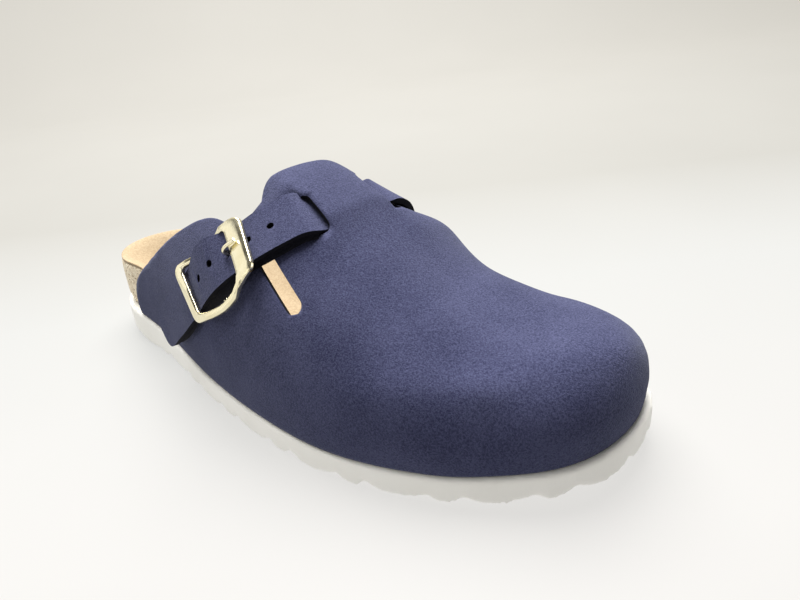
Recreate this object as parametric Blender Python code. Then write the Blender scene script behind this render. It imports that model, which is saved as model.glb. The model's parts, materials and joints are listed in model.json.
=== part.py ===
"""A right-foot clog: moulded sole, cork footbed with a thin lining, one-piece upper and a buckled strap.

Sizes below are millimetres. The toe points to -Y and the buckle side (lateral) is -X.
The sole stands on z = 0.
"""

import math

import bmesh
import bpy
import numpy as np

MM = 0.001
LENGTH = 268.0  # heel to toe along the sole
GAP = 0.3  # air kept between touching pieces
SMOOTH_ANGLE = 35.0  # degrees

# Sole
SOLE_EDGE = 10.2  # height of the sole's side at the ball
TOE_SPRING = 7.8
SPRING_START = 170.0  # distance from the heel where the toe begins to rise
SOLE_RIM = 0.9  # ledge of sole outside the upper
HEEL_FLARE = 0.4  # the sole's foot spreads this far at the heel
FLARE_END = (20.0, 75.0)
SOLE_STATIONS = 76
EDGE_SAMPLES = 800
SOLE_MARGIN = 16.0  # width of the border that runs round the sole's flat faces
GROOVE_START = 9.7
GROOVE_PITCH = 15.2
GROOVE_DEPTH = 2.4
GROOVE_HALF_WIDTH = 5.7
GROOVE_SPAN = 62.0  # how far each groove's cutter reaches to either side
GROOVE_WAVE = 2.0
GROOVE_WAVE_LENGTH = 46.0

# Upper
WALL = 2.2
WALL_BULGE = 1.5  # how far the side wall swells past the feather line
FAN_START = 150.0  # ribs behind this run straight across, ribs ahead fan round the toe
FAN_END = 216.0
FAN_EVENNESS = 0.25
EVEN_ROWS_START = 164.0  # the mesh's rows even out from here to the tip
RIB_SAMPLES = 65
COLLAR_SAMPLES = 240
SLOT = ((127.0, -32.5), (162.2, -51.2))  # ends of the long cut-out: from heel, percent of the rib
SLOT_RADIUS = 3.1
LATERAL_SLIT = ((147.6, -18.6), (159.0, -22.5))
MEDIAL_SLIT = ((151.1, 10.0), (165.0, 10.4))
SLIT_RADIUS = 3.5
TONGUE_LIFT = 3.0  # the tongue stands this far proud where the strap runs beneath it
LIFT_FADE = 4.5
FRONT_LIFT_FADE = 6.0
END_LIFT = 0.4  # share of the lift that is left where the slits end
REAR_LIFT_FADE = (137.0, 143.0)
SIDE_LIFT_FADE = 12.0
VAMP_BREAK = (173.0, 37.0)  # swelling on the inner side where the vamp bends
VAMP_BREAK_HEIGHT = 4.9
VAMP_BREAK_REACH = (9.0, 20.0)

# Footbed
CORK_INSET_HEEL = 1.3
CORK_INSET_COVERED = 5.6
CORK_COVER_START = (22.0, 33.0)  # the heel's bare cork steps in under the upper here
CORK_LEAN = 0.7  # how far the rim leans in above the foot of the cork
CORK_STATIONS = 52
LINING = 1.2

# Strap and buckle
STRAP_THICK = 2.4
STRAP_STEP = 3.6
STRAP_HOLE = 1.3  # radius
STRAP_HOLE_PITCH = 8.7
HOLE_SIDES = 12
HOLE_TURN = 0.15  # keeps the holes' corners off the strap's cross lines
PRONG_HOLE = 1.6
PRONG_PLACE = 5.6  # from the wide bar's middle to the prong's hole
TAIL_TAPER = 8.5
TAIL_FULLNESS = 2.8
TAIL_TURN = 1.42  # the tail's round end stops just short of a quarter turn
UPPER_SIDE = 12.2  # from the strap's middle line to the buckle's upper and lower edge
LOWER_SIDE = 13.8
BUCKLE_THICK = 2.1
BUCKLE_CORNER = 4.0
BAR_CLEAR = 0.8  # the bars stand this far off the strap's middle line
WIDE_BAR = 7.8
REAR_BAR = 4.8
UPPER_RAIL = 2.4
LOWER_RAIL = 3.3
BUCKLE_ARCH = 1.3  # the bars lean with the strap as on a shallow arch this high
BAR_SLANT = 0.1  # the bars lean this much from square across the strap
WIDE_BAR_SHIFT = 0.5  # the wide bar sits this much nearer the floor than the strap's middle
RAIL_BOW = 3.4  # the lower rail swings out this far between the bars
RAIL_BOW_SKEW = 0.5  # and most of it near the wide bar
RAIL_DIP_EASE = 1.6  # the rails leave the bars level and dip between them
UPPER_DIP = 5.0
LOWER_DIP = 0.9
AXLE_RADIUS = 1.0
AXLE_CLEAR = 0.5
PRONG_RADIUS = 0.8
ROD_START_SIDE = (0.3, 0.5, 0.8)  # a direction that no rod runs along

# Outline of the sole: distance from the heel, half width on the lateral side, half width on the medial side
OUTLINE = (
    (0.0, 0.0, 0.0),
    (4.0, 14.0, 15.0),
    (10.0, 20.6, 23.8),
    (20.0, 26.4, 31.0),
    (40.0, 30.6, 36.2),
    (66.0, 35.3, 36.7),
    (100.0, 44.2, 33.7),
    (130.0, 50.0, 33.0),
    (160.0, 53.2, 37.6),
    (187.0, 52.5, 43.2),
    (208.0, 48.4, 43.6),
    (226.0, 42.8, 41.7),
    (242.0, 34.3, 39.4),
    (254.0, 26.1, 35.3),
    (262.0, 16.0, 28.6),
    (266.5, 5.0, 20.6),
    (268.0, -8.5, 8.5),
)

# Sole heights: distance from the heel, underside, top
SOLE_HEIGHTS = (
    (0.0, 7.0, 17.0),
    (10.0, 4.2, 17.0),
    (20.0, 1.8, 16.8),
    (32.0, 0.0, 16.2),
    (70.0, 0.0, 14.0),
    (120.0, 0.0, 11.6),
    (170.0, 0.0, SOLE_EDGE),
    (LENGTH, 0.0, SOLE_EDGE),
)

# Last: distance from the heel, ridge height, ridge side, fullness of the lateral and of the medial wall
SECTIONS = (
    (0.0, 91.0, 7.5, 2.1, 2.3),
    (60.0, 91.0, 7.5, 2.1, 2.3),
    (100.0, 90.5, 7.5, 2.1, 2.3),
    (125.0, 90.2, 7.7, 2.1, 2.4),
    (140.0, 88.2, 7.0, 2.15, 2.2),
    (160.0, 79.2, 6.2, 2.25, 2.2),
    (180.0, 67.7, 6.7, 2.4, 2.35),
    (200.0, 56.0, 5.5, 2.6, 2.4),
    (220.0, 48.9, 5.0, 2.8, 2.65),
    (240.0, 47.4, 5.0, 3.05, 2.95),
    (LENGTH, 53.2, 5.0, 3.2, 3.2),
)

# Collar's line from the lateral rear foot over the tongue to the medial rear foot:
# distance from the heel, percent of the rib
COLLAR = (
    (34.5, -104.0),
    (35.5, -90.0),
    (42.5, -77.0),
    (56.0, -65.5),
    (70.0, -55.0),
    (81.5, -47.0),
    (91.0, -41.3),
    (101.0, -36.0),
    (110.0, -34.3),
    (118.0, -35.5),
    (125.5, -37.0),
    (131.5, -32.5),
    (131.0, -25.5),
    (127.8, -20.5),
    (127.5, -15.0),
    (130.5, -9.0),
    (134.0, -3.0),
    (136.5, 4.0),
    (138.5, 12.0),
    (139.0, 21.0),
    (134.0, 29.0),
    (124.0, 36.0),
    (112.0, 43.0),
    (99.0, 50.0),
    (85.0, 57.5),
    (70.0, 65.0),
    (55.0, 74.0),
    (44.0, 84.0),
    (38.5, 93.0),
    (36.5, 104.0),
)
BEHIND_HEEL = 15.0  # the collar's cut is closed this far from the heel, past the upper's rear ends

# Upper's mesh: start, end and count of cells of its columns, and of each side's rows from foot to ridge
COLUMN_RUNS = ((34.0, 126.0, 11), (126.0, 168.0, 14), (168.0, 196.0, 5), (196.0, FAN_END, 7))
LATERAL_ROWS = ((100.0, 58.0, 5), (58.0, 28.0, 10), (28.0, 14.0, 6), (14.0, 0.0, 2))
MEDIAL_ROWS = ((100.0, 22.0, 14), (22.0, 16.0, 1), (16.0, 4.0, 7), (4.0, 0.0, 1))

# Footbed: distance from the heel, rim height on the lateral and on the medial side, height of the bed
FOOTBED = (
    (0.0, 39.0, 38.5, 30.0),
    (20.0, 39.5, 37.0, 26.5),
    (45.0, 37.0, 35.0, 25.0),
    (80.0, 33.0, 34.0, 25.0),
    (120.0, 28.0, 32.0, 24.0),
    (160.0, 24.0, 25.0, 20.5),
    (190.0, 22.0, 22.0, 18.0),
    (220.0, 23.0, 23.0, 18.5),
    (245.0, 26.0, 26.0, 21.5),
    (LENGTH, 30.0, 30.0, 26.0),
)
BED_RINGS = (0.0, 0.12, 0.34, 0.6, 0.85)  # shares of the way from the rim to the middle line
BED_LIP = 0.03  # share of the way in at which the lining's edge lies
BED_DISH = (0.08, 0.7)  # shares of the way in between which the bed dips
RIM_BLEND = 25.0  # the rim's height changes sides within this distance of the middle
RIM_DROP = 1.5  # rounding of the cork's upper edge
BED_MIDDLE = (30.0, 226.0)  # ends of the middle line

# Strap's middle line: distance from the heel, percent of the rib, height over the last, width
STRAP_PATH = (
    (143.0, 97.5, 1.9, 19.0),
    (145.0, 80.0, 2.2, 19.0),
    (149.0, 60.0, 2.6, 19.0),
    (153.0, 40.0, 3.4, 19.0),
    (156.0, 24.0, 3.6, 18.5),
    (157.2, 16.0, 3.0, 17.0),
    (157.4, 5.0, -2.5, 15.0),
    (156.0, -5.0, -2.6, 15.0),
    (153.8, -16.0, -2.4, 15.5),
    (150.1, -24.0, 2.8, 17.8),
    (147.2, -28.2, 2.5, 19.0),
    (142.6, -34.2, 2.6, 19.0),
    (136.4, -41.4, 3.0, 18.0),
    (129.4, -47.9, 4.0, 18.0),
    (123.8, -52.6, 4.4, 18.0),
    (118.3, -57.2, 4.0, 18.0),
    (112.6, -62.3, 3.0, 18.0),
    (99.4, -72.6, 2.6, 18.0),
    (87.4, -82.0, 3.2, 17.4),
    (78.4, -88.8, 4.2, 17.0),
)
WIDE_BAR_ROW = 12
REAR_BAR_ROW = 16

# Prong, from the bar that it turns on to the wide bar: share of that distance, height over the last
PRONG_PATH = (
    (0.14, 1.25),
    (0.4, 1.25),
    (0.57, 1.6),
    (0.635, 3.2),
    (0.64, 5.8),
    (0.69, 7.7),
    (0.86, 8.4),
    (1.05, 8.2),
)


def cubic_spline(knots, values, closed=False):
    """Return a function through the values at the knots, smooth to its second derivative."""
    knots = np.asarray(knots, float)
    values = np.asarray(values, float).reshape(len(values), -1)
    count = len(values)
    spans = np.diff(knots)
    matrix = np.zeros((count, count))
    right = np.zeros_like(values)
    for i in range(count):
        if not closed and i in (0, count - 1):
            matrix[i, i] = 1.0
            continue
        before = spans[i - 1]
        after = spans[i]
        following = (i + 1) % count
        matrix[i, i - 1] += before
        matrix[i, i] += 2.0 * (before + after)
        matrix[i, following] += after
        rise = (values[following] - values[i]) / after - (values[i] - values[i - 1]) / before
        right[i] = 6.0 * rise
    bends = np.linalg.solve(matrix, right)

    def at(where, slope=False):
        where = np.asarray(where, float)
        where = np.mod(where, knots[-1]) if closed else np.clip(where, knots[0], knots[-1])
        i = np.clip(np.searchsorted(knots, where, side="right") - 1, 0, len(spans) - 1)
        j = (i + 1) % count
        span = spans[i][..., None]
        b = (where - knots[i])[..., None] / span
        a = 1.0 - b
        if slope:
            curve = (3 * b * b - 1) * bends[j] - (3 * a * a - 1) * bends[i]
            return (values[j] - values[i]) / span + curve * span / 6.0
        curve = (a**3 - a) * bends[i] + (b**3 - b) * bends[j]
        return a * values[i] + b * values[j] + curve * span * span / 6.0

    return at


def chord_knots(points):
    """Running length along a line of points."""
    steps = np.linalg.norm(np.diff(points, axis=0), axis=1)
    return np.concatenate([[0.0], np.cumsum(steps)])


def blend(value, start, end):
    """Smooth step from 0 at start to 1 at end."""
    share = np.clip((np.asarray(value, float) - start) / (end - start), 0.0, 1.0)
    return share * share * (3.0 - 2.0 * share)


def runs(table):
    """Grid lines of a table of runs: start, end and count of cells."""
    lines = [np.linspace(start, end, cells + 1)[:-1] for start, end, cells in table]
    return np.concatenate(lines + [[table[-1][1]]])


# Sole outline as a closed curve, from the heel along the lateral side to the toe and back
outline_rows = np.array(OUTLINE)
lateral_edge = np.column_stack([-outline_rows[:, 1], outline_rows[:, 0]])
medial_edge = np.column_stack([outline_rows[-2:0:-1, 2], outline_rows[-2:0:-1, 0]])
edge_loop = np.vstack([lateral_edge, medial_edge])
edge_knots = chord_knots(np.vstack([edge_loop, edge_loop[:1]]))
EDGE_TOTAL = edge_knots[-1]
EDGE_TIP = edge_knots[len(outline_rows) - 1]
edge_curve = cubic_spline(edge_knots, edge_loop, closed=True)


def edge(along, inset=0.0):
    """Points of the sole's outline (side, from heel) moved inwards."""
    slope = edge_curve(along, slope=True)
    slope = slope / np.linalg.norm(slope, axis=-1, keepdims=True)
    inward = np.stack([slope[..., 1], -slope[..., 0]], axis=-1)
    return edge_curve(along) + inward * np.asarray(inset, float)[..., None]


def edge_place(from_heel, side):
    """Place along the outline at a distance from the heel."""
    start, end = (0.0, EDGE_TIP) if side < 0 else (EDGE_TOTAL, EDGE_TIP)
    places = np.linspace(start, end, EDGE_SAMPLES)
    return np.interp(from_heel, edge_curve(places)[:, 1], places)


def spring(from_heel):
    """Rise of the sole towards the toe."""
    share = np.clip((np.asarray(from_heel, float) - SPRING_START) / (LENGTH - SPRING_START), 0.0, None)
    return TOE_SPRING * share**2


def sole_height(from_heel, column):
    """Height of the sole's underside (column 1) or top (column 2)."""
    rows = np.array(SOLE_HEIGHTS)
    return np.interp(from_heel, rows[:, 0], rows[:, column]) + spring(from_heel)


section_rows = np.array(SECTIONS)
section = cubic_spline(section_rows[:, 0], section_rows[:, 1:])
fan_share = np.linspace(0.0, 1.0, 201)
fan_arc = 0.5 * (edge_place(FAN_START, 1) - edge_place(FAN_START, -1))
fan_power = (fan_arc / (FAN_END - FAN_START) - FAN_EVENNESS) / (1.0 - FAN_EVENNESS)
fan_rest = (1.0 - FAN_EVENNESS) * (1.0 - fan_share) ** fan_power + FAN_EVENNESS * (1.0 - fan_share)
fan_ridge = FAN_END - (FAN_END - FAN_START) * fan_rest


def rib(ridge, lateral):
    """Curves of the last from its foot up to the ridge, one for each place along the ridge."""
    straight = np.minimum(ridge, FAN_START)
    place = np.where(lateral, edge_place(straight, -1), edge_place(straight, 1))
    place = place + np.interp(ridge, fan_ridge, fan_share) * (EDGE_TIP - place)
    foot = edge(place, SOLE_RIM)
    low = section(foot[:, 1])
    fullness = np.where(lateral, low[:, 2], low[:, 3])[:, None]
    angle = np.linspace(0.0, math.pi / 2, RIB_SAMPLES)
    inward = 1.0 - np.cos(angle) ** (2.0 / fullness)
    upward = np.sin(angle) ** (2.0 / fullness)
    across = section(ridge)[:, 1] - foot[:, 0]
    ahead = np.minimum(ridge, FAN_END) - foot[:, 1]
    reach = np.hypot(across, ahead)[:, None]
    inward = inward - WALL_BULGE * 4.0 * upward * (1.0 - upward) / reach
    side = foot[:, :1] + inward * across[:, None]
    from_heel = foot[:, 1:] + inward * ahead[:, None]
    base = sole_height(foot[:, 1], 2)[:, None] + GAP
    height = base + (section(from_heel)[..., 0] - base) * upward
    return np.stack([side, LENGTH / 2 - from_heel, height], axis=-1)


def last_surface(ridge, percent):
    """Points of the last by place along the ridge and percent of the rib.

    The percent runs from -100 at the lateral foot over 0 on the ridge to 100 at the medial foot.
    """
    curves = rib(ridge, percent < 0)
    lengths = np.linalg.norm(np.diff(curves, axis=1), axis=2)
    run = np.concatenate([np.zeros((len(curves), 1)), np.cumsum(lengths, axis=1)], axis=1)
    wanted = np.clip(1.0 - np.abs(percent) / 100.0, 0.0, 1.0) * run[:, -1]
    upper_end = np.clip((run < wanted[:, None]).sum(axis=1), 1, RIB_SAMPLES - 1)
    row = np.arange(len(curves))
    lower_end = upper_end - 1
    share = (wanted - run[row, lower_end]) / np.maximum(run[row, upper_end] - run[row, lower_end], 1e-9)
    return curves[row, lower_end] + share[:, None] * (curves[row, upper_end] - curves[row, lower_end])


def slit_line(slit, ridge):
    """Percent of the rib at which a slit's line passes a place along the ridge."""
    (start, first), (end, last) = slit
    return first + (last - first) * (ridge - start) / (end - start)


def tongue_lift(ridge, percent):
    """How far the tongue stands proud over the strap: full between the slits, fading round them."""
    ends = (LATERAL_SLIT[1], MEDIAL_SLIT[1])
    front_end = SLIT_RADIUS + np.interp(percent, [end[1] for end in ends], [end[0] for end in ends])
    ahead = 1.0 - blend(ridge, front_end, front_end + FRONT_LIFT_FADE)
    near_end = blend(ridge, front_end - LIFT_FADE, front_end)
    inside = ahead * (1.0 - (1.0 - END_LIFT) * near_end)
    front = ahead * END_LIFT * near_end
    rear = 1.0 - blend(ridge, *REAR_LIFT_FADE)
    past_lateral = slit_line(LATERAL_SLIT, ridge) - percent
    past_medial = percent - slit_line(MEDIAL_SLIT, ridge)
    past = np.maximum(past_lateral, past_medial)
    outside = np.maximum(rear, front) * (1.0 - blend(past, 0.0, SIDE_LIFT_FADE))
    return TONGUE_LIFT * np.where(past <= 0.0, inside, outside)


def wall(ridge, percent, lifted=True):
    """Outer points of the upper and their outward normals, with the tongue lifted or lying flat."""
    ridge = np.asarray(ridge, float)
    percent = np.asarray(percent, float)
    step = 0.5
    point = last_surface(ridge, percent)
    across = last_surface(ridge, percent + step) - last_surface(ridge, percent - step)
    along = last_surface(ridge + step, percent) - last_surface(ridge - step, percent)
    normal = np.cross(along, across)
    normal = normal / np.linalg.norm(normal, axis=1, keepdims=True)
    far = (ridge - VAMP_BREAK[0]) / VAMP_BREAK_REACH[0], (percent - VAMP_BREAK[1]) / VAMP_BREAK_REACH[1]
    swell = VAMP_BREAK_HEIGHT * np.exp(-(far[0] ** 2) - far[1] ** 2)
    rise = swell + tongue_lift(ridge, percent) if lifted else swell
    return point + normal * rise[:, None], normal


def new_object(name, verts, faces, material):
    """Make a named mesh object from points in millimetres, with its faces turned outwards."""
    mesh = bpy.data.meshes.new(name)
    mesh.from_pydata([tuple(MM * value for value in vert) for vert in verts], [], faces)
    work = bmesh.new()
    work.from_mesh(mesh)
    bmesh.ops.recalc_face_normals(work, faces=work.faces[:])
    work.to_mesh(mesh)
    work.free()
    mesh.shade_smooth()
    mesh.set_sharp_from_angle(angle=math.radians(SMOOTH_ANGLE))
    obj = bpy.data.objects.new(name, mesh)
    bpy.context.collection.objects.link(obj)
    if material is not None:
        mesh.materials.append(material)
    return obj


def new_material(name, colour, roughness, metallic=0.0):
    """A plain Principled finish."""
    material = bpy.data.materials.new(name)
    material.use_nodes = True
    shader = material.node_tree.nodes["Principled BSDF"]
    shader.inputs["Base Color"].default_value = (*colour, 1.0)
    shader.inputs["Roughness"].default_value = roughness
    shader.inputs["Metallic"].default_value = metallic
    return material


def rings_to_faces(rings, closed=True):
    """Quads between neighbouring rings of equal length, as indices of the stacked points."""
    count = len(rings[0])
    faces = []
    for ring in range(len(rings) - 1):
        for k in range(count if closed else count - 1):
            after = (k + 1) % count
            first = ring * count
            second = first + count
            faces.append((first + k, first + after, second + after, second + k))
    return faces


def ladder(start, count):
    """Quads across a ring that starts at the heel, pairing its lateral and medial points."""
    faces = [(start, start + 1, start + count - 1)]
    for k in range(1, count // 2 - 1):
        faces.append((start + k, start + k + 1, start + count - k - 1, start + count - k))
    half = count // 2
    faces.append((start + half - 1, start + half, start + half + 1))
    return faces


def split(faces, corner):
    """Cut quads in two from one corner, so that sheets that lie on each other crease alike."""
    halves = []
    for face in faces:
        turned = face[corner:] + face[:corner]
        halves += [turned[:3], turned[:1] + turned[2:]] if len(face) == 4 else [face]
    return halves


def cut(obj, cutter):
    """Take a hidden cutter out of an object."""
    cutter.hide_render = True
    cutter.display_type = "WIRE"
    modifier = obj.modifiers.new(cutter.name, "BOOLEAN")
    modifier.operation = "DIFFERENCE"
    modifier.object = cutter


def ring_stations(count):
    """Places along the outline: equal steps on each side, with the heel first and the toe's tip halfway."""
    half = count // 2
    lateral = np.linspace(0.0, EDGE_TIP, half + 1)
    medial = np.linspace(EDGE_TIP, EDGE_TOTAL, half + 1)
    return np.concatenate([lateral, medial[1:-1]])


def ring(places, inset, height):
    """A ring of points inside the outline, with a height for each point's distance from the heel."""
    flat = edge(places, inset)
    return np.column_stack([flat[:, 0], LENGTH / 2 - flat[:, 1], height(flat[:, 1])])


def build_outsole(material):
    """Sole plate with a rounded edge, cut below by waved grooves that notch its side."""
    places = ring_stations(SOLE_STATIONS)
    flare = HEEL_FLARE * (1.0 - blend(edge(places)[:, 1], *FLARE_END))
    # Ring table: inset, share of the flare, height column (1 underside, 2 top), rise
    ring_table = (
        (SOLE_MARGIN, 0.0, 2, 0.0),
        (0.9, 0.0, 2, 0.0),
        (0.0, 0.05, 2, -0.9),
        (0.0, 1.0, 1, 1.0),
        (0.9, 1.0, 1, 0.0),
        (SOLE_MARGIN, 0.0, 1, 0.0),
    )
    rings = []
    for inset, spread, column, rise in ring_table:
        rings.append(ring(places, inset - spread * flare, lambda t: sole_height(t, column) + rise))
    faces = rings_to_faces(rings) + ladder(0, SOLE_STATIONS)
    faces += ladder((len(rings) - 1) * SOLE_STATIONS, SOLE_STATIONS)
    outsole = new_object("outsole", np.vstack(rings), faces, material)
    cut(outsole, build_grooves())
    return outsole


def build_grooves():
    """Bars of a pointed section that wave across the sole, one for each groove."""
    # Section of a bar: share of the half width, share of the depth
    shape = (
        (-1.4, -0.4),
        (-0.9, 0.0),
        (-0.5, 0.2),
        (-0.22, 0.5),
        (-0.09, 0.9),
        (0.09, 0.9),
        (0.22, 0.5),
        (0.5, 0.2),
        (0.9, 0.0),
        (1.4, -0.4),
    )
    across = np.linspace(-GROOVE_SPAN, GROOVE_SPAN, 10)
    verts = []
    faces = []
    for middle in np.arange(GROOVE_START, LENGTH, GROOVE_PITCH):
        start = len(verts)
        for side in across:
            wave = GROOVE_WAVE * math.sin(2.0 * math.pi * side / GROOVE_WAVE_LENGTH)
            for share, depth in shape:
                from_heel = middle + wave + share * GROOVE_HALF_WIDTH
                height = float(sole_height(min(from_heel, LENGTH), 1)) + depth * GROOVE_DEPTH
                verts.append((side, LENGTH / 2 - from_heel, height))
        count = len(shape)
        sections = [verts[start + k * count : start + (k + 1) * count] for k in range(len(across))]
        faces += [tuple(start + index for index in face) for face in rings_to_faces(sections)]
        faces.append(tuple(range(start, start + count)))
        faces.append(tuple(range(len(verts) - count, len(verts))))
    return new_object("groove_cutter", verts, faces, None)


def bed_point(places, share, rise):
    """Points of the footbed's dished top: share of the way from the rim (0) to the middle line (1)."""
    covered = blend(edge(places)[:, 1], *CORK_COVER_START)
    inset = CORK_INSET_HEEL + (CORK_INSET_COVERED - CORK_INSET_HEEL) * covered + CORK_LEAN
    rim = edge(places, inset)
    rows = np.array(FOOTBED)
    middle_t = np.clip(rim[:, 1], *BED_MIDDLE)
    lateral = edge_curve(edge_place(middle_t, -1))[:, 0]
    medial = edge_curve(edge_place(middle_t, 1))[:, 0]
    middle = np.column_stack([0.5 * (lateral + medial), middle_t])
    flat = rim + share * (middle - rim)
    bed = cubic_spline(rows[:, 0], rows[:, 1:])(flat[:, 1])
    towards_medial = blend(flat[:, 0], -RIM_BLEND, RIM_BLEND)
    rim_height = bed[:, 0] + (bed[:, 1] - bed[:, 0]) * towards_medial
    dish = blend(share, *BED_DISH)
    height = rim_height + (bed[:, 2] - rim_height) * dish + rise
    return np.column_stack([flat[:, 0], LENGTH / 2 - flat[:, 1], height])


def build_footbed(material):
    """Cork block: flat foot on the sole, upright side, dished top with a heel cup."""
    places = ring_stations(CORK_STATIONS)
    covered = blend(edge(places)[:, 1], *CORK_COVER_START)
    foot_inset = CORK_INSET_HEEL + (CORK_INSET_COVERED - CORK_INSET_HEEL) * covered
    foot = ring(places, foot_inset, lambda t: sole_height(t, 2) + GAP)
    shoulder = bed_point(places, 0.0, -RIM_DROP)
    rings = [foot, shoulder]
    rings += [bed_point(places, share + BED_LIP, 0.0) for share in BED_RINGS]
    faces = rings_to_faces(rings) + ladder(0, CORK_STATIONS)
    faces += ladder((len(rings) - 1) * CORK_STATIONS, CORK_STATIONS)
    faces = split(faces, 0)
    return new_object("footbed", np.vstack(rings), faces, material)


def build_insole(material):
    """Thin lining sheet over the footbed's dished top."""
    places = ring_stations(CORK_STATIONS)
    under = [bed_point(places, share + BED_LIP, GAP) for share in BED_RINGS]
    over = [bed_point(places, share + BED_LIP, GAP + LINING) for share in BED_RINGS]
    rings = under[::-1] + over
    faces = split(rings_to_faces(rings), 1) + split(ladder(0, CORK_STATIONS), 0)
    faces += ladder((len(rings) - 1) * CORK_STATIONS, CORK_STATIONS)
    return new_object("insole", np.vstack(rings), faces, material)


def outline_distance(points, polygon):
    """Distance from points to a closed outline on the flat pattern, negative inside it."""
    start = polygon
    step = np.roll(polygon, -1, axis=0) - polygon
    away = points[:, None, :] - start[None]
    share = np.clip((away * step).sum(-1) / np.maximum((step * step).sum(-1), 1e-12), 0.0, 1.0)
    distance = np.linalg.norm(away - share[..., None] * step, axis=-1).min(axis=1)
    following = np.roll(polygon, -1, axis=0)
    crosses = (start[:, 1] > points[:, 1:]) != (following[:, 1] > points[:, 1:])
    rise = np.where(np.abs(step[:, 1]) < 1e-12, 1e-12, step[:, 1])
    meets = start[:, 0] + (points[:, 1:] - start[:, 1]) * step[:, 0] / rise
    inside = (crosses & (points[:, :1] < meets)).sum(axis=1) % 2 == 1
    return np.where(inside, -distance, distance)


def capsule_distance(points, ends, radius):
    """Distance from points to a round-ended cut, negative inside it."""
    start, end = np.array(ends)
    step = end - start
    share = np.clip(((points - start) @ step) / (step @ step), 0.0, 1.0)
    return np.linalg.norm(points - start - share[:, None] * step, axis=1) - radius


collar_rows = np.array(COLLAR)
collar_knots = chord_knots(collar_rows)
collar_line = cubic_spline(collar_knots, collar_rows)(np.linspace(0.0, collar_knots[-1], COLLAR_SAMPLES))
rear_corners = [(BEHIND_HEEL, COLLAR[-1][1]), (BEHIND_HEEL, COLLAR[0][1])]
collar_outline = np.vstack([collar_line, rear_corners])


def pattern_distance(points):
    """Distance on the flat pattern from the upper's openings, positive on leather."""
    return np.minimum.reduce([
        outline_distance(points, collar_outline),
        capsule_distance(points, SLOT, SLOT_RADIUS),
        capsule_distance(points, LATERAL_SLIT, SLIT_RADIUS),
        capsule_distance(points, MEDIAL_SLIT, SLIT_RADIUS),
    ])


def slide_to_edge(points):
    """Move points of the flat pattern onto the nearest edge of an opening."""
    step = 0.05
    for _ in range(4):
        here = pattern_distance(points)
        slope = np.column_stack([
            pattern_distance(points + (step, 0.0)) - pattern_distance(points - (step, 0.0)),
            pattern_distance(points + (0.0, step)) - pattern_distance(points - (0.0, step)),
        ])
        slope = slope / np.maximum(np.linalg.norm(slope, axis=1, keepdims=True), 1e-9)
        points = points - here[:, None] * slope
    return points


def upper_pattern():
    """Grid of the flat pattern, fitted to the openings: points, signed distances and the grid's shape."""
    columns = runs(COLUMN_RUNS)
    lateral = -runs(LATERAL_ROWS)
    medial = runs(MEDIAL_ROWS)[::-1]
    even = np.linspace(100.0, 0.0, len(lateral))
    rows = []
    for ridge in columns:
        towards_tip = blend(ridge, EVEN_ROWS_START, FAN_END)
        low = lateral + (-even - lateral) * towards_tip
        high = medial + (even[::-1] - medial) * towards_tip
        rows.append(np.concatenate([low, high[1:]]))
    percent = np.array(rows)
    ridge = np.repeat(columns[:, None], percent.shape[1], axis=1)
    points = np.stack([ridge, percent], axis=-1)
    shape = percent.shape
    distance = pattern_distance(points.reshape(-1, 2)).reshape(shape)
    near = np.zeros(shape, bool)
    for axis in (0, 1):
        first = [slice(None), slice(None)]
        second = [slice(None), slice(None)]
        first[axis] = slice(None, -1)
        second[axis] = slice(1, None)
        a = distance[tuple(first)]
        b = distance[tuple(second)]
        crossing = a * b < 0
        near[tuple(first)] |= crossing & (np.abs(a) <= np.abs(b))
        near[tuple(second)] |= crossing & (np.abs(a) > np.abs(b))
    moved = slide_to_edge(points[near])
    moved[:, 1] = np.clip(moved[:, 1], -100.0, 100.0)
    points[near] = moved
    distance[near] = 0.0
    return points, distance


def upper_faces(points, distance):
    """Faces of the pattern that lie on leather, as tuples of grid places."""
    faces = []
    columns, rows = distance.shape
    for i in range(columns - 1):
        for j in range(rows - 1):
            corners = [(i, j), (i + 1, j), (i + 1, j + 1), (i, j + 1)]
            kept = [corner for corner in corners if distance[corner] >= 0.0]
            if len(kept) >= 3:
                faces.append(kept)
    middles = np.array([np.mean([points[corner] for corner in face], axis=0) for face in faces])
    on_leather = pattern_distance(middles) > 0.0
    return [face for face, keep in zip(faces, on_leather) if keep]


def build_upper(material):
    """One hollow wall: outer and inner skins joined by a rim at the foot, collar, slot and slits."""
    points, distance = upper_pattern()
    faces = upper_faces(points, distance)
    flat = points.reshape(-1, 2)
    outer, normal = wall(flat[:, 0], flat[:, 1])
    inner = outer - WALL * normal
    tip = distance.shape[0] - 1
    rows = distance.shape[1]
    verts = []
    places = {}

    def vertex(corner):
        row = min(corner[1], rows - 1 - corner[1]) if corner[0] == tip else corner[1]
        grid = corner[0] * rows + row
        key = tuple(np.round(outer[grid], 3))
        if key not in places:
            places[key] = len(verts)
            verts.append((outer[grid], inner[grid]))
        return places[key]

    skin = []
    for face in faces:
        loop = []
        for corner in face:
            index = vertex(corner)
            if index not in loop:
                loop.append(index)
        if len(loop) >= 3:
            skin.append(loop)
    count = len(verts)
    sides = {}
    for loop in skin:
        for a, b in zip(loop, loop[1:] + loop[:1]):
            sides[frozenset((a, b))] = sides.get(frozenset((a, b)), []) + [(a, b)]
    solid = [tuple(loop) for loop in skin]
    solid += [tuple(index + count for index in reversed(loop)) for loop in skin]
    for users in sides.values():
        if len(users) == 1:
            a, b = users[0]
            solid.append((b, a, a + count, b + count))
    stacked = [pair[0] for pair in verts] + [pair[1] for pair in verts]
    return new_object("upper", stacked, solid, material)


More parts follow.
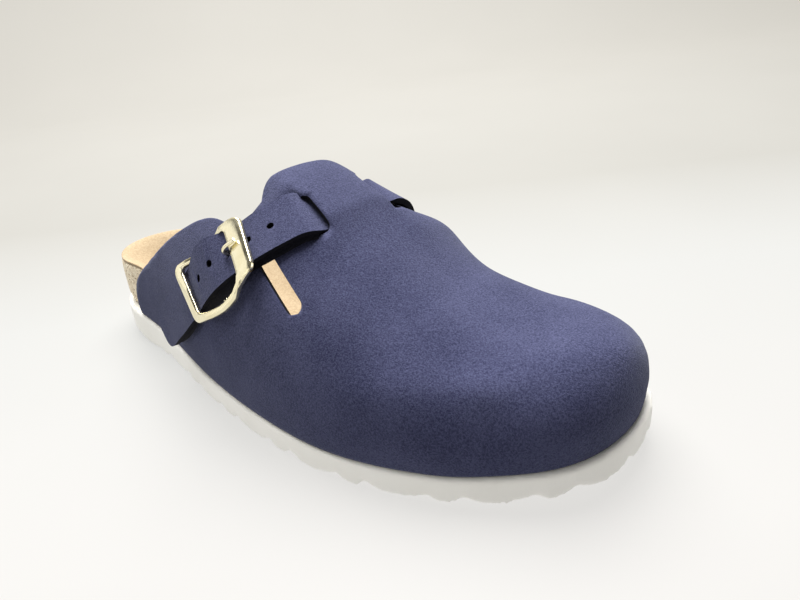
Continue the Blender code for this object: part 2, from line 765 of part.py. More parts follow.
strap_rows = np.array(STRAP_PATH)
strap_points, strap_normals = wall(strap_rows[:, 0], strap_rows[:, 1], lifted=False)
strap_knots = chord_knots(strap_points)
strap_curve = cubic_spline(strap_knots, strap_points)
strap_facing = cubic_spline(strap_knots, strap_normals)
WIDE_BAR_AT = strap_knots[WIDE_BAR_ROW]
REAR_BAR_AT = strap_knots[REAR_BAR_ROW]


def strap_row(along):
    """The strap's height over the last and its width, easing from row to row."""
    i = int(np.clip(np.searchsorted(strap_knots, along) - 1, 0, len(strap_knots) - 2))
    ease = float(blend(along, strap_knots[i], strap_knots[i + 1]))
    return strap_rows[i, 2:] + (strap_rows[i + 1, 2:] - strap_rows[i, 2:]) * ease


def strap_lift(along):
    """Height of the strap's mid layer over the last."""
    return strap_row(along)[0]


def on_strap(along, aside, rise):
    """A point by its place along the strap's line, its offset across it and its height over the last."""
    forward = strap_curve(along, slope=True)
    normal = strap_facing(along)
    normal = normal - forward * (normal @ forward) / (forward @ forward)
    normal = normal / np.linalg.norm(normal)
    across = np.cross(normal, forward / np.linalg.norm(forward))
    return strap_curve(along) + across * aside + normal * rise


def prism(name, stations, material):
    """A closed solid through sections of equal count, with flat ends."""
    verts = [point for section_points in stations for point in section_points]
    count = len(stations[0])
    faces = rings_to_faces(stations)
    faces.append(tuple(range(count)))
    faces.append(tuple(range(len(verts) - count, len(verts))))
    return new_object(name, verts, faces, material)


def build_strap(material):
    """Flat strap along its line, with a rounded tail and punched holes."""
    end = strap_knots[-1]
    plain = np.linspace(0.0, end - TAIL_TAPER, int((end - TAIL_TAPER) / STRAP_STEP))
    rounded = end - TAIL_TAPER * (1.0 - np.sin(np.linspace(0.0, TAIL_TURN, 7)[1:]))
    stations = []
    for along in np.concatenate([plain, rounded]):
        into_tail = max(0.0, (along - end + TAIL_TAPER) / TAIL_TAPER)
        middle, width = strap_row(along)
        half = width / 2 * (1.0 - into_tail**TAIL_FULLNESS) ** (1.0 / TAIL_FULLNESS)
        under = middle - STRAP_THICK / 2
        over = middle + STRAP_THICK / 2
        corners = ((-half, under), (-half, over), (half, over), (half, under))
        stations.append([on_strap(along, aside, rise) for aside, rise in corners])
    strap = prism("strap", stations, material)
    for step in range(-2, 3):
        along = WIDE_BAR_AT + PRONG_PLACE + step * STRAP_HOLE_PITCH
        radius = PRONG_HOLE if step == 0 else STRAP_HOLE
        cut(strap, round_bar(f"strap_hole_{step + 2}", along, radius))
    return strap


def round_bar(name, along, radius):
    """Upright cutter through the strap."""
    turns = HOLE_TURN + np.linspace(0.0, 2.0 * math.pi, HOLE_SIDES, endpoint=False)
    low = strap_lift(along) - STRAP_THICK
    high = strap_lift(along) + STRAP_THICK
    circle = [(along + radius * math.cos(turn), radius * math.sin(turn)) for turn in turns]
    return prism(name, [[on_strap(a, b, rise) for a, b in circle] for rise in (low, high)], None)


def rounded_frame(start, end, upper, lower, corner):
    """Closed line of a rounded rectangle: corner arcs with even points along its rails and bars."""
    centres = (
        (end - corner, lower - corner, 0.0),
        (start + corner, lower - corner, 0.5),
        (start + corner, upper + corner, 1.0),
        (end - corner, upper + corner, 1.5),
    )
    between = (7, 3, 7, 3)  # points along the lower rail, wide bar, upper rail and rear bar
    line = []
    for k, (along, aside, turn) in enumerate(centres):
        for angle in np.linspace(turn, turn + 0.5, 5) * math.pi:
            line.append((along + corner * math.cos(angle), aside + corner * math.sin(angle)))
        following = centres[(k + 1) % 4]
        first = np.array(line[-1])
        angle = following[2] * math.pi
        last = np.array(following[:2]) + corner * np.array([math.cos(angle), math.sin(angle)])
        for share in np.linspace(0.0, 1.0, between[k] + 2)[1:-1]:
            line.append(tuple(first + share * (last - first)))
    return line


def buckle_axes():
    """The buckle's own directions, and how its bars lie on the strap.

    They are the middle of the wide bar, the distance to the rear bar, the directions along the
    strap, across it and outwards, and how far each bar rises for each millimetre across.
    """
    over_last = strap_lift(WIDE_BAR_AT) + STRAP_THICK / 2 + BAR_CLEAR + BUCKLE_THICK / 2
    bars = WIDE_BAR_AT, REAR_BAR_AT
    sides = [on_strap(place, 1.0, 0.0) - on_strap(place, 0.0, 0.0) for place in bars]
    wide, rear = (on_strap(place, 0.0, over_last) for place in bars)
    wide = wide + sides[0] * WIDE_BAR_SHIFT
    length = np.linalg.norm(rear - wide)
    along = (rear - wide) / length
    across = sides[0] + sides[1]
    across = across - along * (across @ along)
    across = across / np.linalg.norm(across)
    out = np.cross(along, across)
    return wide, length, along, across, out, sides[0] @ out, sides[1] @ out


def buckle_point(along, aside, rise):
    """A point of the stiff frame: distance from the wide bar, offset across, height over its middle."""
    wide, length, forward, across, out, wide_lean, rear_lean = buckle_axes()
    between = float(np.clip((along - WIDE_BAR / 2) / (length - WIDE_BAR / 2 - REAR_BAR / 2), 0.0, 1.0))
    low_side = float(blend(aside, UPPER_RAIL - UPPER_SIDE, LOWER_SIDE - LOWER_RAIL))
    share = along / length
    rise += BUCKLE_ARCH * 4.0 * share * (1.0 - share)
    rise += aside * (wide_lean + (rear_lean - wide_lean) * share)
    dip = UPPER_DIP + (LOWER_DIP - UPPER_DIP) * low_side
    rise -= dip * math.sin(math.pi * between) ** RAIL_DIP_EASE
    swing = RAIL_BOW * math.sin(math.pi * between**RAIL_BOW_SKEW)
    along = along - BAR_SLANT * aside
    aside = aside + swing * low_side
    return wide + forward * along + across * aside + out * rise


def build_buckle(material):
    """Stiff bowed frame: two bars over the strap, and rails that dip beside it."""
    start = -WIDE_BAR / 2
    end = buckle_axes()[1] + REAR_BAR / 2
    outer = rounded_frame(start, end, -UPPER_SIDE, LOWER_SIDE, BUCKLE_CORNER)
    inner_sides = UPPER_RAIL - UPPER_SIDE, LOWER_SIDE - LOWER_RAIL
    inner = rounded_frame(start + WIDE_BAR, end - REAR_BAR, *inner_sides, BUCKLE_CORNER / 2)
    # Section: share of the way in, share of the half thickness
    shape = ((0.0, -1.0), (0.0, 0.35), (0.22, 1.0), (0.78, 1.0), (1.0, 0.35), (1.0, -1.0))
    stations = []
    for (along_out, aside_out), (along_in, aside_in) in zip(outer, inner):
        points = []
        for share, level in shape:
            along = along_out + share * (along_in - along_out)
            aside = aside_out + share * (aside_in - aside_out)
            points.append(buckle_point(along, aside, level * BUCKLE_THICK / 2))
        stations.append(points)
    count = len(shape)
    verts = [point for points in stations for point in points]
    faces = rings_to_faces(stations)
    last = len(verts) - count
    faces += [(last + k, last + (k + 1) % count, (k + 1) % count, k) for k in range(count)]
    return new_object("buckle", verts, faces, material)


def tube(name, centres, radius, material, sides=8):
    """Round rod through points."""
    centres = np.array(centres)
    stations = []
    for k, centre in enumerate(centres):
        forward = centres[min(k + 1, len(centres) - 1)] - centres[max(k - 1, 0)]
        forward = forward / np.linalg.norm(forward)
        across = np.cross(forward, ROD_START_SIDE) if k == 0 else across - forward * (across @ forward)
        across = across / np.linalg.norm(across)
        other = np.cross(forward, across)
        turns = np.linspace(0.0, 2.0 * math.pi, sides, endpoint=False)
        stations.append([centre + radius * (math.cos(a) * across + math.sin(a) * other) for a in turns])
    return prism(name, stations, material)


def build_buckle_bar(material):
    """Axle that the prong turns on: flat under the strap, and bent up beside it to meet the rails."""
    middle = 0.5 * (WIDE_BAR_AT + REAR_BAR_AT)
    halfway = buckle_axes()[1] / 2
    beside_strap = strap_row(middle)[1] / 2
    lower_rail = LOWER_SIDE - LOWER_RAIL / 2
    under_rail = BUCKLE_THICK / 2 + GAP
    centres = [buckle_point(halfway, UPPER_RAIL - UPPER_SIDE + GAP, 0.0)]
    for aside in (0.0, beside_strap):
        centres.append(on_strap(middle, aside, AXLE_CLEAR + AXLE_RADIUS))
    centres.append(buckle_point(halfway, lower_rail, -under_rail - AXLE_RADIUS))
    centres.append(buckle_point(halfway, lower_rail, -under_rail))
    return tube("buckle_bar", centres, AXLE_RADIUS, material)


def build_prong(material):
    """Pin that runs under the strap, up through its hole and over the wide bar."""
    middle = 0.5 * (WIDE_BAR_AT + REAR_BAR_AT)
    rows = np.array(PRONG_PATH)
    knots = chord_knots(rows * (middle - WIDE_BAR_AT, 1.0))
    path = cubic_spline(knots, rows)(np.linspace(0.0, knots[-1], 14))
    centres = [on_strap(middle + share * (WIDE_BAR_AT - middle), 0.0, rise) for share, rise in path]
    return tube("buckle_prong", centres, PRONG_RADIUS, material)


def centre_on_origin(pieces):
    """Hang the pieces on one empty that puts the middle of their common box over the origin."""
    root = bpy.data.objects.new("clog", None)
    bpy.context.collection.objects.link(root)
    points = np.array([tuple(vert.co) for piece in pieces for vert in piece.data.vertices])
    middle = 0.5 * (points.min(axis=0) + points.max(axis=0))
    root.location = (-middle[0], -middle[1], 0.0)
    for piece in bpy.context.collection.objects:
        if piece is not root:
            piece.parent = root


def main():
    for obj in list(bpy.data.objects):
        bpy.data.objects.remove(obj)
    foam = new_material("white_foam", (0.70, 0.69, 0.64), 0.6)
    cork = new_material("cork", (0.55, 0.42, 0.27), 0.85)
    suede = new_material("beige_suede", (0.70, 0.55, 0.40), 0.95)
    nubuck = new_material("navy_nubuck", (0.055, 0.055, 0.13), 0.9)
    gold = new_material("pale_gold", (0.78, 0.68, 0.42), 0.25, 1.0)
    pieces = [
        build_outsole(foam),
        build_footbed(cork),
        build_insole(suede),
        build_upper(nubuck),
        build_strap(nubuck),
        build_buckle(gold),
        build_buckle_bar(gold),
        build_prong(gold),
    ]
    centre_on_origin(pieces)


main()
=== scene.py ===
# %% [markdown]
# # A nubuck clog on a cork footbed
#
# The solids of the clog come ready made, all in one shared frame in metres. The toe points to -Y and
# the buckle side is -X. This lesson dresses each solid: it gives soft goods their rounded edges and
# creases, metal its polish, and every surface a finish of its own.

# %% Load the frame
import json
import math

import bpy
import numpy as np
from mathutils import Matrix, Vector

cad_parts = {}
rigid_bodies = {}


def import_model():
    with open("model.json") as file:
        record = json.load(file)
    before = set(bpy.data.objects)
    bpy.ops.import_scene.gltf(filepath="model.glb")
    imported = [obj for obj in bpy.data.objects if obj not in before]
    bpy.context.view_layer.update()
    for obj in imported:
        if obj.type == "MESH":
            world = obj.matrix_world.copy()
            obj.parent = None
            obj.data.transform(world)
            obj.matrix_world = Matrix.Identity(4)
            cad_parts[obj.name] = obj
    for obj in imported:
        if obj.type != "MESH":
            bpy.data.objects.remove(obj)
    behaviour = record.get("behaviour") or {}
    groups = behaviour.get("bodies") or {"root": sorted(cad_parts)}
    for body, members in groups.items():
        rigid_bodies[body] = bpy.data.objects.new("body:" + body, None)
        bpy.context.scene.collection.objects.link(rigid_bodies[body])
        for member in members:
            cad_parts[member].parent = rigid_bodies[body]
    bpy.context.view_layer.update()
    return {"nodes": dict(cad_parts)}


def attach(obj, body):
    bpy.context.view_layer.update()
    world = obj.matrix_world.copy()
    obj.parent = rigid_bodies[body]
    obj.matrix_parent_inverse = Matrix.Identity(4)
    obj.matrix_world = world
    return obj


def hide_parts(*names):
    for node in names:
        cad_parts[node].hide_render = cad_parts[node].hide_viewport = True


MM = 0.001
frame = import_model()
print("solids:", sorted(frame["nodes"]))

# %% [markdown]
# ## The camera
#
# The picture was taken from the front of the buckle side, a little above the shoe and close to it, with
# the camera leaning slightly. A close camera makes the toe look large, so the distance matters as much
# as the angle. The camera is built from these plain facts instead of being pointed by hand.

# %% Camera
AIM = Vector((4.77, -0.2, 40.0)) * MM
AZIMUTH = math.radians(-50.61)
ELEVATION = math.radians(27.99)
LEAN = math.radians(-6.25)
DISTANCE = 259.94 * MM
SLIDE = (33.96 * MM, -5.69 * MM)
FOCAL_LENGTH = 27.78

back = Vector((
    math.sin(AZIMUTH) * math.cos(ELEVATION),
    -math.cos(AZIMUTH) * math.cos(ELEVATION),
    math.sin(ELEVATION),
))
level_right = Vector((math.cos(AZIMUTH), math.sin(AZIMUTH), 0.0))
level_up = back.cross(level_right)
right = level_right * math.cos(LEAN) + level_up * math.sin(LEAN)
up = level_up * math.cos(LEAN) - level_right * math.sin(LEAN)
place = AIM + right * SLIDE[0] + up * SLIDE[1] + back * DISTANCE
turn = Matrix((right, up, back)).transposed()
bpy.ops.object.camera_add(location=place, rotation=turn.to_euler())
camera = bpy.context.object
camera.name = "photo_camera"
camera.data.lens = FOCAL_LENGTH
camera.data.clip_start = 0.01
bpy.context.scene.camera = camera
print("camera at", [round(value, 3) for value in place])

# %% [markdown]
# ## Floor and light
#
# The shoe stands on a white sweep: a floor that bends up into a wall with no visible corner. It starts
# as a plane, its far edge is extruded upwards, and a wide bevel turns the corner into the bend. The
# light is soft and comes from above. The floor is nearly white, and the shadow under the shoe is faint.

# %% Sweep
SWEEP_SIZE = 3.0
SWEEP_TURN = math.radians(-45.0)
WALL_HEIGHT = 1.6
BEND_RADIUS = 0.35
FAR_EDGE = 1.1
NEAR = 0.01


def select_only(obj):
    """Make one object the only selected and active one."""
    bpy.ops.object.select_all(action="DESELECT")
    obj.select_set(True)
    bpy.context.view_layer.objects.active = obj


bpy.ops.mesh.primitive_plane_add(size=SWEEP_SIZE, location=(0.0, FAR_EDGE - SWEEP_SIZE / 2, 0.0))
sweep = bpy.context.object
sweep.name = "backdrop"
bpy.ops.object.transform_apply(location=True, rotation=True, scale=True)
for edge in sweep.data.edges:
    edge.select = all(sweep.data.vertices[i].co.y > FAR_EDGE - NEAR for i in edge.vertices)
for vert in sweep.data.vertices:
    vert.select = vert.co.y > FAR_EDGE - NEAR
for face in sweep.data.polygons:
    face.select = False
bpy.ops.object.mode_set(mode="EDIT")
bpy.ops.mesh.select_mode(type="EDGE")
bpy.ops.mesh.extrude_region_move(TRANSFORM_OT_translate={"value": (0.0, 0.0, WALL_HEIGHT)})
bpy.ops.object.mode_set(mode="OBJECT")
for vert in sweep.data.vertices:
    vert.select = False
for edge in sweep.data.edges:
    ends = [sweep.data.vertices[i].co for i in edge.vertices]
    edge.select = all(co.y > FAR_EDGE - NEAR and co.z < NEAR for co in ends)
for face in sweep.data.polygons:
    face.select = False
bpy.ops.object.mode_set(mode="EDIT")
bpy.ops.mesh.bevel(offset=BEND_RADIUS, segments=24, affect="EDGES")
bpy.ops.mesh.select_all(action="SELECT")
bpy.ops.mesh.normals_make_consistent(inside=False)
bpy.ops.object.mode_set(mode="OBJECT")
sweep.rotation_euler = (0.0, 0.0, SWEEP_TURN)
bpy.ops.object.transform_apply(location=True, rotation=True, scale=True)
bpy.ops.object.shade_smooth()
print("backdrop faces:", len(sweep.data.polygons))

# %% [markdown]
# One large panel overhead gives the soft light. Three weak ones help it: a card on the left that the
# buckle mirrors, a fill for the buckle side, and a low one that lifts the tip of the toe. The
# surroundings give almost no light of their own, but show pale where the paper ends in other views.

# %% Lights
WARM_WHITE = (1.0, 0.985, 0.955)
# Light table: name, place, the point it faces, size, power
PANELS = (
    ("overhead", (0.32, 0.27, 1.02), (0.0, 0.0, 0.0), 0.9, 41.0),
    ("toe_fill", (0.60, -0.72, 0.2), (0.02, -0.1, 0.03), 0.5, 1.4),
    ("left_card", (-0.72, 0.86, 0.35), (-0.03, 0.0, 0.06), 1.0, 3.2),
    ("left_fill", (-1.1, 0.05, 0.5), (0.0, 0.0, 0.03), 0.8, 2.4),
)
SURROUND_LIGHT = 0.1
SURROUND_SEEN = 0.74

for name, place, aim, size, power in PANELS:
    bpy.ops.object.light_add(type="AREA", location=place)
    lamp = bpy.context.object
    lamp.name = name
    lamp.rotation_euler = (Vector(aim) - Vector(place)).to_track_quat("-Z", "Y").to_euler()
    lamp.data.shape = "SQUARE"
    lamp.data.size = size
    lamp.data.energy = power
    lamp.data.color = WARM_WHITE
world = bpy.context.scene.world or bpy.data.worlds.new("studio")
bpy.context.scene.world = world
world.use_nodes = True
surround = world.node_tree.nodes["Background"]
surround.inputs["Color"].default_value = (1.0, 0.985, 0.96, 1.0)
in_view = world.node_tree.nodes.new("ShaderNodeLightPath").outputs["Is Camera Ray"]
brightness = world.node_tree.nodes.new("ShaderNodeMapRange")
brightness.inputs["To Min"].default_value = SURROUND_LIGHT
brightness.inputs["To Max"].default_value = SURROUND_SEEN
world.node_tree.links.new(in_view, brightness.inputs["Value"])
world.node_tree.links.new(brightness.outputs["Result"], surround.inputs["Strength"])
bpy.context.scene.view_settings.view_transform = "Standard"

# %% [markdown]
# ## Finishes
#
# Patterns that are used more than once are shader node groups: a soft nap for nubuck, suede and cut
# edges, and a crumb of granules for the grains and the specks of the cork. Each group reads the
# object's own coordinates, so that the grain keeps its real size, and gives out masks and heights. The
# shaders themselves stay in the materials.

# %% Node helpers
def put(tree, kind, settings=None, inputs=None):
    """Add a shader node, with its settings and the values of its inputs."""
    node = tree.nodes.new(kind)
    for name, value in (settings or {}).items():
        setattr(node, name, value)
    for name, value in (inputs or {}).items():
        node.inputs[name].default_value = value
    return node


def new_group(name, inputs, outputs):
    """A shader node group with named value inputs and outputs."""
    tree = bpy.data.node_groups.new(name, "ShaderNodeTree")
    for label, value in inputs:
        socket = tree.interface.new_socket(label, in_out="INPUT", socket_type="NodeSocketFloat")
        socket.default_value = value
    for label in outputs:
        tree.interface.new_socket(label, in_out="OUTPUT", socket_type="NodeSocketFloat")
    return tree, tree.nodes.new("NodeGroupInput"), tree.nodes.new("NodeGroupOutput")


def noise(tree, coordinates, scale, detail, roughness=0.55, curl=0.0):
    """A noise texture; its scale is a number or the socket that gives it."""
    settings = {"Detail": detail, "Roughness": roughness, "Distortion": curl}
    node = put(tree, "ShaderNodeTexNoise", None, settings)
    tree.links.new(coordinates, node.inputs["Vector"])
    if isinstance(scale, (int, float)):
        node.inputs["Scale"].default_value = scale
    else:
        tree.links.new(scale, node.inputs["Scale"])
    return node.outputs["Fac"]


def maths(tree, operation, first, second):
    """A maths node on sockets or plain numbers."""
    node = put(tree, "ShaderNodeMath", {"operation": operation})
    for socket, value in zip(node.inputs, (first, second)):
        if isinstance(value, (int, float)):
            socket.default_value = value
        else:
            tree.links.new(value, socket)
    return node.outputs[0]


def stretch(tree, value, low, high, to_low=0.0, to_high=1.0):
    """Spread a value's working range over another one."""
    node = put(tree, "ShaderNodeMapRange", None, {
        "From Min": low, "From Max": high, "To Min": to_low, "To Max": to_high,
    })
    tree.links.new(value, node.inputs["Value"])
    return node.outputs["Result"]


def ramp(tree, value, stops):
    """Colours along a value: rows of place and colour."""
    node = put(tree, "ShaderNodeValToRGB")
    elements = node.color_ramp.elements
    while len(elements) < len(stops):
        elements.new(0.5)
    for element, (where, colour) in zip(elements, stops):
        element.position = where
        element.color = (*colour, 1.0)
    tree.links.new(value, node.inputs["Fac"])
    return node.outputs["Color"]


def mix(tree, factor, first, second):
    """Blend two colours, given as sockets or plain colours."""
    node = put(tree, "ShaderNodeMix", {"data_type": "RGBA"})
    colour_a, colour_b = node.inputs[6], node.inputs[7]
    for socket, value in ((node.inputs[0], factor), (colour_a, first), (colour_b, second)):
        if isinstance(value, tuple):
            socket.default_value = (*value, 1.0)
        elif isinstance(value, (int, float)):
            socket.default_value = value
        else:
            tree.links.new(value, socket)
    return node.outputs[2]


def new_finish(name):
    """An empty material: its tree and its shader."""
    material = bpy.data.materials.new(name)
    material.use_nodes = True
    return material, material.node_tree, material.node_tree.nodes["Principled BSDF"]


def relief(tree, shader, height, depth):
    """Raise the surface by a height map of a given depth in metres."""
    node = put(tree, "ShaderNodeBump", None, {"Distance": depth, "Strength": 1.0})
    tree.links.new(height, node.inputs["Height"])
    tree.links.new(node.outputs["Normal"], shader.inputs["Normal"])


# %% Nap group
nap, nap_in, nap_out = new_group(
    "soft_nap",
    (("Fibre Scale", 1500.0), ("Patch Scale", 60.0)),
    ("Mottle", "Patch", "Height"),
)
nap_place = put(nap, "ShaderNodeTexCoord").outputs["Object"]
fibre = noise(nap, nap_place, nap_in.outputs["Fibre Scale"], 1.5, 0.5, 0.8)
dust_scale = maths(nap, "MULTIPLY", nap_in.outputs["Fibre Scale"], 2.3)
dust = noise(nap, nap_place, dust_scale, 2.0, 0.6)
patch = noise(nap, nap_place, nap_in.outputs["Patch Scale"], 3.0)
grain = maths(nap, "ADD", maths(nap, "MULTIPLY", fibre, 0.7), maths(nap, "MULTIPLY", dust, 0.3))
nap.links.new(stretch(nap, grain, 0.39, 0.61), nap_out.inputs["Mottle"])
nap.links.new(stretch(nap, patch, 0.3, 0.7), nap_out.inputs["Patch"])
nap.links.new(grain, nap_out.inputs["Height"])
print("nap nodes:", len(nap.nodes))

# %% Crumb group
crumb, crumb_in, crumb_out = new_group("crumb", (("Crumb Scale", 500.0),), ("Shade", "Height"))
crumb_place = put(crumb, "ShaderNodeTexCoord").outputs["Object"]
cells = put(crumb, "ShaderNodeTexVoronoi", {"feature": "F1"})
crumb.links.new(crumb_place, cells.inputs["Vector"])
crumb.links.new(crumb_in.outputs["Crumb Scale"], cells.inputs["Scale"])
cell_shade = put(crumb, "ShaderNodeSeparateColor")
crumb.links.new(cells.outputs["Color"], cell_shade.inputs["Color"])
gaps = put(crumb, "ShaderNodeTexVoronoi", {"feature": "DISTANCE_TO_EDGE"})
crumb.links.new(crumb_place, gaps.inputs["Vector"])
crumb.links.new(crumb_in.outputs["Crumb Scale"], gaps.inputs["Scale"])
crumb.links.new(cell_shade.outputs["Red"], crumb_out.inputs["Shade"])
crumb.links.new(stretch(crumb, gaps.outputs["Distance"], 0.0, 0.25), crumb_out.inputs["Height"])
print("groups:", [tree.name for tree in bpy.data.node_groups])


# %% [markdown]
# Nubuck is leather with its skin sanded to a short nap. It has no gloss, a fine mottle of lighter and
# darker fibres, and a pale sheen wherever it is seen at a low angle. The sheen belongs to the shader,
# and the mottle comes from the nap group.

# %% Napped finishes
def napped(name, dark, light, fibre_scale, patch_scale, sheen, depth):
    """A soft finish between two shades, as the table gives it."""
    material, tree, shader = new_finish(name)
    group = put(tree, "ShaderNodeGroup", {"node_tree": nap})
    group.inputs["Fibre Scale"].default_value = fibre_scale
    group.inputs["Patch Scale"].default_value = patch_scale
    mottle = maths(tree, "MULTIPLY", group.outputs["Mottle"], 0.7)
    patch_share = maths(tree, "MULTIPLY", group.outputs["Patch"], 0.3)
    blend = maths(tree, "ADD", mottle, patch_share)
    tree.links.new(ramp(tree, blend, ((0.1, dark), (0.9, light))), shader.inputs["Base Color"])
    rough = stretch(tree, group.outputs["Mottle"], 0.0, 1.0, 0.82, 0.97)
    tree.links.new(rough, shader.inputs["Roughness"])
    shader.inputs["Sheen Weight"].default_value = sheen
    shader.inputs["Sheen Roughness"].default_value = 0.45
    shader.inputs["Specular IOR Level"].default_value = 0.08
    relief(tree, shader, group.outputs["Height"], depth)
    return material


# Nap table: name, dark and light shade, fibre and patch scale, sheen, depth of the nap in metres
NAPS = (
    ("navy_nubuck", (0.024, 0.027, 0.065), (0.068, 0.073, 0.142), 1700.0, 45.0, 0.12, 0.0004),
    ("beige_suede", (0.30, 0.225, 0.14), (0.40, 0.315, 0.21), 1100.0, 70.0, 0.1, 0.00012),
    ("inner_skin", (0.25, 0.19, 0.125), (0.33, 0.265, 0.185), 1100.0, 70.0, 0.1, 0.00012),
    # The black edge finish: the real cut edges, and also painted shade round the slits and under the
    # strap.
    ("cut_edge_and_shade", (0.002, 0.002, 0.004), (0.009, 0.009, 0.014), 1700.0, 120.0, 0.03, 0.0002),
)
NAVY_SHEEN = (0.82, 0.88, 1.0, 1.0)

nubuck, lining, inner_skin, cut_edge_and_shade = [napped(*row) for row in NAPS]
nubuck.node_tree.nodes["Principled BSDF"].inputs["Sheen Tint"].default_value = NAVY_SHEEN
print("napped finishes:", [row[0] for row in NAPS])

# %% [markdown]
# The cork bed is pressed from granules, so its side shows tan grains of slightly different shades with
# darker specks between them. The sole is moulded foam, nearly white, with a faint pebble from the
# mould.

# %% Cork and foam
CRUMB_SIZES = (650.0, 1300.0)

cork, cork_tree, cork_shader = new_finish("cork")
grains = put(cork_tree, "ShaderNodeGroup", {"node_tree": crumb}, {"Crumb Scale": CRUMB_SIZES[0]})
specks = put(cork_tree, "ShaderNodeGroup", {"node_tree": crumb}, {"Crumb Scale": CRUMB_SIZES[1]})
tan = ramp(cork_tree, grains.outputs["Shade"], (
    (0.0, (0.72, 0.60, 0.43)), (0.5, (0.84, 0.73, 0.55)), (1.0, (0.91, 0.83, 0.66)),
))
is_speck = stretch(cork_tree, specks.outputs["Shade"], 0.92, 0.97)
specked = mix(cork_tree, is_speck, tan, (0.42, 0.31, 0.20))
cork_tree.links.new(specked, cork_shader.inputs["Base Color"])
cork_rough = stretch(cork_tree, grains.outputs["Shade"], 0.0, 1.0, 0.75, 0.95)
cork_tree.links.new(cork_rough, cork_shader.inputs["Roughness"])
relief(cork_tree, cork_shader, grains.outputs["Height"], 0.00025)

foam, foam_tree, foam_shader = new_finish("white_foam")
foam_place = put(foam_tree, "ShaderNodeTexCoord").outputs["Object"]
foam_cloud = noise(foam_tree, foam_place, 45.0, 3.0)
foam_grain = noise(foam_tree, foam_place, 1400.0, 3.0)
foam_colour = ramp(foam_tree, foam_cloud, ((0.3, (0.89, 0.88, 0.83)), (0.7, (0.94, 0.93, 0.89))))
foam_tree.links.new(foam_colour, foam_shader.inputs["Base Color"])
foam_tree.links.new(stretch(foam_tree, foam_grain, 0.3, 0.7, 0.5, 0.68), foam_shader.inputs["Roughness"])
relief(foam_tree, foam_shader, foam_grain, 0.00006)
print("moulded finishes:", cork.name, foam.name)

# %% [markdown]
# The buckle is plated in pale gold and polished. Fine hairlines and a slow change of roughness keep it
# from looking like a mirror ball.

# %% Gold
gold, gold_tree, gold_shader = new_finish("pale_gold")
gold_place = put(gold_tree, "ShaderNodeTexCoord").outputs["Object"]
gold_cloud = noise(gold_tree, gold_place, 160.0, 3.0)
hairline = noise(gold_tree, gold_place, 2600.0, 2.0)
gold_colour = ramp(gold_tree, gold_cloud, ((0.3, (0.82, 0.74, 0.49)), (0.7, (0.92, 0.86, 0.63))))
gold_tree.links.new(gold_colour, gold_shader.inputs["Base Color"])
gold_tree.links.new(stretch(gold_tree, gold_cloud, 0.3, 0.7, 0.13, 0.25), gold_shader.inputs["Roughness"])
gold_shader.inputs["Metallic"].default_value = 1.0
relief(gold_tree, gold_shader, hairline, 0.000012)
print("metal finish:", gold.name)

# %% [markdown]
# ## Dressing the solids
#
# Each piece starts as a copy of its solid. The copy comes as loose triangles, so its doubles are
# merged, its triangles are paired into quads, and a subdivision surface smooths it. Edges that should
# stay crisp get a crease first.

# %% Copy helpers
MERGE = 2e-6
PAIR_BEND = math.radians(50.0)
PAIR_SKEW = math.radians(70.0)
INSIDE_SHOE = Vector((5.0, 0.0, 40.0)) * MM
SKIN_FACING = 0.35
OUTSIDE, INSIDE, RIM = range(3)


def copy_of(node, name, skew=PAIR_SKEW):
    """A merged copy of a solid, in quads where its triangles pair up."""
    source = frame["nodes"][node]
    select_only(source)
    bpy.ops.object.duplicate()
    piece = bpy.context.object
    bpy.ops.object.parent_clear(type="CLEAR_KEEP_TRANSFORM")
    for key in list(piece.keys()):
        del piece[key]
    piece.name = name
    piece.data.name = name
    piece.data.materials.clear()
    bpy.ops.object.mode_set(mode="EDIT")
    bpy.ops.mesh.select_all(action="SELECT")
    bpy.ops.mesh.remove_doubles(threshold=MERGE)
    bpy.ops.mesh.customdata_custom_splitnormals_clear()
    bpy.ops.mesh.tris_convert_to_quads(face_threshold=PAIR_BEND, shape_threshold=skew)
    bpy.ops.object.mode_set(mode="OBJECT")
    return piece


def crease_sharp(piece, angle, crease):
    """Keep the edges sharper than an angle crisp under subdivision, and mark them."""
    select_only(piece)
    bpy.ops.object.mode_set(mode="EDIT")
    bpy.ops.mesh.select_mode(type="EDGE")
    bpy.ops.mesh.select_all(action="DESELECT")
    bpy.ops.mesh.edges_select_sharp(sharpness=math.radians(angle))
    bpy.ops.mesh.mark_sharp()
    bpy.ops.transform.edge_crease(value=crease)
    bpy.ops.object.mode_set(mode="OBJECT")


def smooth_out(piece, levels):
    """Apply a subdivision surface and shade the piece smooth."""
    select_only(piece)
    bpy.ops.object.mode_set(mode="EDIT")
    bpy.ops.mesh.select_all(action="SELECT")
    bpy.ops.mesh.mark_sharp(clear=True)
    bpy.ops.object.mode_set(mode="OBJECT")
    modifier = piece.modifiers.new("smooth", "SUBSURF")
    modifier.levels = levels
    modifier.render_levels = levels
    bpy.ops.object.modifier_apply(modifier=modifier.name)
    bpy.ops.object.shade_smooth()


def sheet_from(piece, seed):
    """Faces that hang together with one face, up to the sharp edges round them."""
    select_only(piece)
    bpy.ops.object.mode_set(mode="EDIT")
    bpy.ops.mesh.select_mode(type="FACE")
    bpy.ops.mesh.select_all(action="DESELECT")
    bpy.ops.object.mode_set(mode="OBJECT")
    piece.data.polygons[seed].select = True
    bpy.ops.object.mode_set(mode="EDIT")
    bpy.ops.mesh.select_linked(delimit={"SHARP"})
    bpy.ops.object.mode_set(mode="OBJECT")
    return [face.index for face in piece.data.polygons if face.select]


def facing_out(faces, sheet):
    """How far a sheet faces away from the middle of the shoe: 1 for an outer skin, -1 for an inner one."""
    turned = 0.0
    for index in sheet:
        face = faces[index]
        turned += (face.center - INSIDE_SHOE).normalized().dot(face.normal) * face.area
    return turned / sum(faces[i].area for i in sheet)


